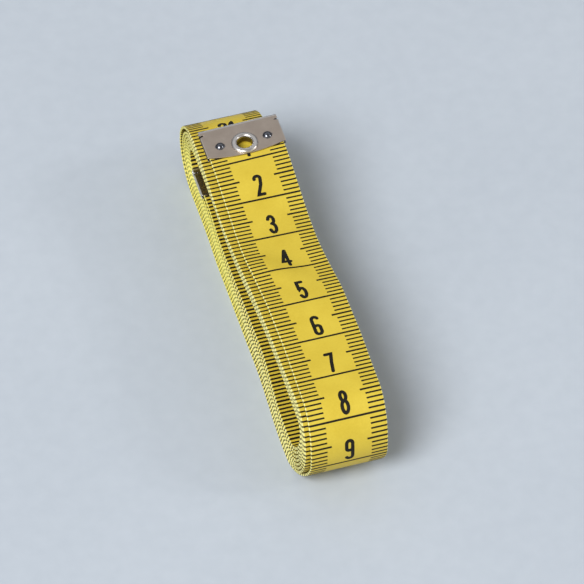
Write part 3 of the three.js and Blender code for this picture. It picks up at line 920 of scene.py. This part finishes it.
def dress_stretch(name, start, end, nodes, bodies, bend=None):
    """A stretch of tape with its marks and numbers, riding on the first of its bodies, or, where it has a
    bend, left unparented with its place baked into its points.
    """
    tape = tape_stretch("tape_" + name, start, end)
    prints = [printed_marks("marks_" + name, start, end)]
    if numbers_between(start, end):
        prints.append(printed_numbers("numbers_" + name, start, end))
    if start < EYELET_FROM_FOLD < end:
        cut_eyelet_hole(tape)
    for piece in (tape, *prints):
        if bend is None:
            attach(piece, bodies[0])
        else:
            first, last = crease_point(bend[0]), crease_point(bend[1])
            last.z = first.z
            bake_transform(piece)
    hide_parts(*nodes)


def dress_tape():
    tail_cut, tail_stiff = SCALE_LENGTH - TAIL_CUT, ROUTE_LENGTH - TAIL_STIFF
    zero_end, inner_end = TAPE_INSET, ROUTE_LENGTH - TAPE_INSET
    dress_stretch("wound", LEAD_CUTS[0], tail_cut, ["tape_winding"], ["hank"])
    ends = [*LEAD_CUTS[1:], zero_end]
    carrier = "hank"
    for k, (far, near) in enumerate(zip(ends, LEAD_CUTS), start=1):
        body = f"lead_{k}"
        bend = (near, max(far, ZERO_STIFF))
        dress_stretch(f"peel_{k}", far, near, [f"tape_lead_{k}"], [carrier, body], bend)
        carrier = body
    bend = (tail_cut, tail_stiff)
    dress_stretch("inner_end", tail_cut, inner_end, ["tape_tail"], ["hank", "tail"], bend)


# Clips and eyelet


def clip_half_width(y, z):
    """Half of the clip's width, with rounded corners at the fold and nicks in the upper leaf's sides."""
    nick = NOTCH_DEPTH * max(0, 1 - ((y + NOTCH_FROM_FOLD) / NOTCH_HALF) ** 2) if z > 0 else 0
    inside = max(0, y + CLIP_CORNER)
    corner = CLIP_CORNER - math.sqrt(max(0, CLIP_CORNER ** 2 - inside ** 2))
    return CLIP_HALF_WIDTH - nick - CORNER_INSET * corner


def clip_sheet(with_hole):
    """Outer skin of a sheet folded round the tape's end, its fold at y = 0 and its leaves towards -y."""
    columns = np.linspace(-1, 1, CLIP_COLUMNS)
    reaches = CLIP_LENGTH + CLIP_CROWN * (1 - columns * columns)
    leaf = [*PLAIN_ROWS, *FINE_ROWS]
    rows = []
    for t in leaf:
        rows.append([(c, -reach * (1 - t) - FOLD_OUT * t, FOLD_OUT) for c, reach in zip(columns, reaches)])
    for a in np.radians(np.linspace(90, -90, FOLD_ROWS))[1:-1]:
        rows.append([(c, -FOLD_OUT + FOLD_OUT * math.cos(a), FOLD_OUT * math.sin(a)) for c in columns])
    for upper in reversed(rows[:len(leaf)]):
        rows.append([(c, y, -FOLD_OUT) for c, y, _ in upper])
    points = [(c * clip_half_width(y, z), y, z) for row in rows for c, y, z in row]
    wide = len(columns)
    faces = [
        (r * wide + k, r * wide + k + 1, (r + 1) * wide + k + 1, (r + 1) * wide + k)
        for r in range(len(rows) - 1) for k in range(wide - 1)
    ]
    if with_hole:
        def kept(face):
            x, y, _ = np.mean([points[k] for k in face], axis=0)
            return math.hypot(x, y + EYELET_FROM_FOLD) > HOLE_CUT
        faces = [f for f in faces if kept(f)]
    return points, faces


def lathe(profile, steps=48):
    """Rings of a profile of (radius, height) turned about Z."""
    turns = np.linspace(0, math.tau, steps, endpoint=False)
    return [np.array([(r * math.cos(a), r * math.sin(a), z) for a in turns]) for r, z in profile]


def pip_profile():
    """A low dome on the sheet, closed below inside the sheet."""
    sphere = (PIP_RADIUS ** 2 + PIP_HEIGHT ** 2) / (2 * PIP_HEIGHT)
    slope = math.asin(min(1, PIP_RADIUS / sphere))
    turns = np.linspace(PIP_TIP, slope, PIP_STEPS)
    dome = [(sphere * math.sin(a), sphere * math.cos(a) - sphere + PIP_HEIGHT) for a in turns]
    return dome + [(PIP_RADIUS, -CLIP_SHEET / 2), (PIP_TIP * PIP_RADIUS, -CLIP_SHEET / 2)]


def folded_clip(name, at, with_eyelet, painted_shade_share=0):
    """A clip with its pips, a painted highlight along its fold, wear along its side edges, painted shade
    inside its fold, a painted dark reflection on its pips, and a share of painted shade all over it. Where
    that share is given, the cut sides get the pale colour and no shade.
    """
    points, faces = clip_sheet(with_eyelet)
    mesh = mesh_from(name, points, faces)
    face_outwards(mesh)
    plate = new_piece(name, mesh, TIN)
    wall = plate.modifiers.new("sheet", "SOLIDIFY")
    wall.thickness, wall.offset = CLIP_SHEET, -1
    edge = plate.modifiers.new("edge", "BEVEL")
    edge.width, edge.segments = CLIP_EDGE_BEVEL, 2
    edge.limit_method, edge.angle_limit = "ANGLE", BEVEL_ANGLE
    bpy.context.view_layer.update()
    made = bpy.data.meshes.new_from_object(plate.evaluated_get(bpy.context.evaluated_depsgraph_get()))
    plate.modifiers.clear()
    plate.data = made
    work = bmesh.new()
    work.from_mesh(made)
    bmesh.ops.dissolve_degenerate(work, dist=SAME_PLACE, edges=work.edges)
    for side in (-1, 1):
        shape, skin = loft(lathe(pip_profile()))
        middle = np.array([side * PIP_SPACING / 2, -PIP_FROM_FOLD, FOLD_OUT])
        dome = mesh_from("dome", shape + middle, skin)
        face_outwards(dome)
        work.from_mesh(dome)
    # Pale for the painted highlight along the fold and the wear along the side edges; painted shade on the
    # pips, inside the fold and, by a share, over a shaded clip
    sheen_and_wear = [1.0 if painted_shade_share and on_side(vert.co) else wear_at(vert.co) for vert in work.verts]
    painted_shade = [float(on_pip(vert.co) or inside_fold(vert.co)) or painted_shade_share for vert in work.verts]
    painted_shade = [dark * (1 - sheened_and_worn) if painted_shade_share else dark for dark, sheened_and_worn in zip(painted_shade, sheen_and_wear)]
    bmesh.ops.transform(work, matrix=at, verts=work.verts)
    work.to_mesh(made)
    work.free()
    made.attributes.new("sheen_and_wear", "FLOAT", "POINT").data.foreach_set("value", sheen_and_wear)
    made.attributes.new("painted_shade", "FLOAT", "POINT").data.foreach_set("value", painted_shade)
    return plate


def on_pip(place):
    """Whether a place on a clip is on one of its pips, which carry a painted dark reflection of the room."""
    from_middle = math.hypot(abs(place.x) - PIP_SPACING / 2, place.y + PIP_FROM_FOLD)
    return from_middle < PIP_PAINTED_REACH and place.z > FOLD_OUT


def on_side(place):
    """Whether a place on a clip is on the cut sides of its sheet."""
    return abs(place.x) > SIDE_FINISH


def inside_fold(place):
    """Whether a place on a clip is on the inner side of its sheet, which is painted with shade."""
    return abs(place.z) < INSIDE_SHADE_LEVEL


def wear_at(place):
    """How far a place on a clip is painted pale: a painted highlight along the fold, and less along the side
    edges, where it is wear.
    """
    fold = float(smooth(place.y, -FOLD_SHEEN, -FOLD_SHEEN / 2))
    side = EDGE_WEAR_SHARE * float(smooth(abs(place.x), CLIP_HALF_WIDTH - EDGE_WEAR, CLIP_HALF_WIDTH))
    return max(fold, side)


def eyelet_profile():
    """Bore, rolled flange with a flat crown, barrel and foot, as (radius, height) round the section."""
    seat = FOLD_OUT
    bed = seat - EYELET_BEDDING
    inner, outer = EYELET_BORE + EYELET_INNER_ROLL, EYELET_FLANGE - EYELET_OUTER_ROLL
    foot_middle, foot_half = (EYELET_FOOT + EYELET_BORE) / 2, (EYELET_FOOT - EYELET_BORE) / 2
    return [
        (EYELET_BORE, -seat), (EYELET_BORE, seat - EYELET_LIP),
        *arc(inner, seat, EYELET_INNER_ROLL, EYELET_RISE, 180, 90, 8),
        *arc(outer, seat, EYELET_OUTER_ROLL, EYELET_RISE, 90, 0, 9),
        (EYELET_FLANGE - EYELET_LIP, bed), (EYELET_BARREL, bed), (EYELET_BARREL, -bed), (EYELET_FOOT, -bed),
        *arc(foot_middle, -seat, foot_half, EYELET_FOOT_DEPTH, -15, -165, 9),
    ]


def in_bore(place):
    """Whether a place on the eyelet is on its bore below the rolled rim, which is painted with shade."""
    return math.hypot(place.x, place.y) < BORE_SHADE_RADIUS and place.z < FOLD_OUT


def rolled_eyelet(at):
    rings = lathe(eyelet_profile(), steps=72)
    points, faces = loft([*rings, rings[0]], closed_ends=False)
    mesh = mesh_from("rolled_eyelet", points, faces)
    face_outwards(mesh, merge=SAME_PLACE)
    painted_shade = [float(in_bore(vert.co)) for vert in mesh.vertices]
    mesh.transform(at)
    mesh.attributes.new("painted_shade", "FLOAT", "POINT").data.foreach_set("value", painted_shade)
    return new_piece("rolled_eyelet", mesh, PLATE)


def dress_ends():
    fold = crease_point(0) + Vector((0, FOLD_OVERRUN, 0))
    zero = Matrix.Translation(fold) @ Matrix.Rotation(-ZERO_ROLL, 4, "Y")
    rivet = zero @ Matrix.Translation((0, -EYELET_FROM_FOLD, 0))
    inner = Matrix.Translation(crease_point(ROUTE_LENGTH))
    pieces = [
        (folded_clip("folded_zero_clip", zero, True), "lead_4", "zero_clip", "clip"),
        (rolled_eyelet(rivet), "lead_4", "eyelet", "eyelet"),
        (folded_clip("folded_inner_clip", inner, False, INNER_PAINTED_SHADE), "tail", "inner_clip", "clip"),
    ]
    for piece, body, solid, slot in pieces:
        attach(piece, body)
        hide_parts(solid)


# Floor, light and camera
FLOOR_HALF = 3.0
CAMERA_AZIMUTH, CAMERA_ELEVATION = -16.57, 49.4
CAMERA_DISTANCE = 1.0
CAMERA_TARGET = Vector((1.612, -2.49, 10)) * MM
PIXELS_PER_METRE = 4890
FRAME_PIXELS = 584
SENSOR = 36
# How bright the far and the near side of the room are, from the floor up to straight overhead: (height, grey)
FAR_WALL = [(0, 0.14), (0.42, 0.2), (0.62, 0.6), (0.82, 0.62), (0.94, 0.3), (1, 0.22)]
NEAR_WALL = [(0, 0.6), (0.35, 0.5), (0.7, 0.3), (1, 0.22)]
WARMTH, COOLNESS = (1.05, 1, 0.93), (0.98, 1, 1.04)
# Where the far side of the room gives way to the near side, in the Y of the direction looked in
FAR_SIDE, NEAR_SIDE = 0.1, -0.6
# Windows: name, place, width, watts, colour
WINDOWS = [
    ("window_left", (-1.34, -0.9, 1.86), 1.5, 57, (0.98, 1, 1.02)),
    ("window_right", (1.0, -0.34, 0.62), 0.24, 2.2, (1, 1, 1)),
]


def table_top():
    corners = [(x * FLOOR_HALF, y * FLOOR_HALF, 0) for x, y in ((-1, -1), (1, -1), (1, 1), (-1, 1))]
    mesh = mesh_from("table_top", corners, [(0, 1, 2, 3)])
    material, tree, shader = new_material("pale_table", Roughness=0.8, Specular_IOR_Level=0.2)
    place = node(tree, "ShaderNodeTexCoord", (-1200, 0))
    patches = mottle(tree, place.outputs["Object"], (-900, 200), patch=14, grain=300, share=0.4)
    spread = span(tree, patches, 0, 1, (-650, 200))
    pale = tint(tree, spread, (0.475, 0.52, 0.575), (0.525, 0.57, 0.625), (-400, 200))
    link(tree, pale, shader.inputs["Base Color"])
    new_piece("table_top", mesh, material)


def window(name, place, size, power, colour):
    data = bpy.data.lights.new(name, "AREA")
    data.shape, data.size = "DISK", size
    data.energy, data.color = power, colour
    made = bpy.data.objects.new(name, data)
    bpy.context.scene.collection.objects.link(made)
    made.location = place
    made.rotation_euler = (-Vector(place)).to_track_quat("-Z", "Y").to_euler()


def light_scene():
    world = bpy.data.worlds.new("room")
    world.use_nodes = True
    tree = world.node_tree
    way = node(tree, "ShaderNodeTexCoord", (-800, 0))
    parts = node(tree, "ShaderNodeSeparateXYZ", (-600, 0))
    link(tree, way.outputs["Generated"], parts.inputs[0])
    walls = []
    for row, (wall, cast) in enumerate(((FAR_WALL, COOLNESS), (NEAR_WALL, WARMTH))):
        height = node(tree, "ShaderNodeValToRGB", (-400, -300 * row))
        height.color_ramp.interpolation = "EASE"
        stops = height.color_ramp.elements
        for at, _ in wall[1:-1]:
            stops.new(at)
        for stop, (_, grey) in zip(stops, wall):
            stop.color = (*[grey * part for part in cast], 1)
        link(tree, parts.outputs["Z"], height.inputs["Fac"])
        walls.append(height.outputs["Color"])
    front = node(tree, "ShaderNodeMapRange", (-400, -600), interpolation_type="SMOOTHSTEP")
    front.inputs["From Min"].default_value, front.inputs["From Max"].default_value = FAR_SIDE, NEAR_SIDE
    link(tree, parts.outputs["Y"], front.inputs["Value"])
    room = node(tree, "ShaderNodeMix", (0, 0), data_type="RGBA")
    link(tree, front.outputs["Result"], room.inputs[0])
    link(tree, walls[0], room.inputs[6])
    link(tree, walls[1], room.inputs[7])
    link(tree, room.outputs[2], tree.nodes["Background"].inputs["Color"])
    bpy.context.scene.world = world
    for row in WINDOWS:
        window(*row)


def place_camera():
    data = bpy.data.cameras.new("camera")
    data.sensor_width = SENSOR
    data.lens = PIXELS_PER_METRE * CAMERA_DISTANCE / FRAME_PIXELS * SENSOR
    camera = bpy.data.objects.new("camera", data)
    bpy.context.scene.collection.objects.link(camera)
    azimuth, elevation = math.radians(CAMERA_AZIMUTH), math.radians(CAMERA_ELEVATION)
    level = math.cos(elevation)
    back = Vector((math.sin(azimuth) * level, -math.cos(azimuth) * level, math.sin(elevation)))
    camera.location = CAMERA_TARGET + back * CAMERA_DISTANCE
    camera.rotation_euler = (-back).to_track_quat("-Z", "Y").to_euler()
    bpy.context.scene.camera = camera


bpy.context.scene.view_settings.view_transform = "Standard"
place_camera()
dress_tape()
dress_ends()
table_top()
light_scene()
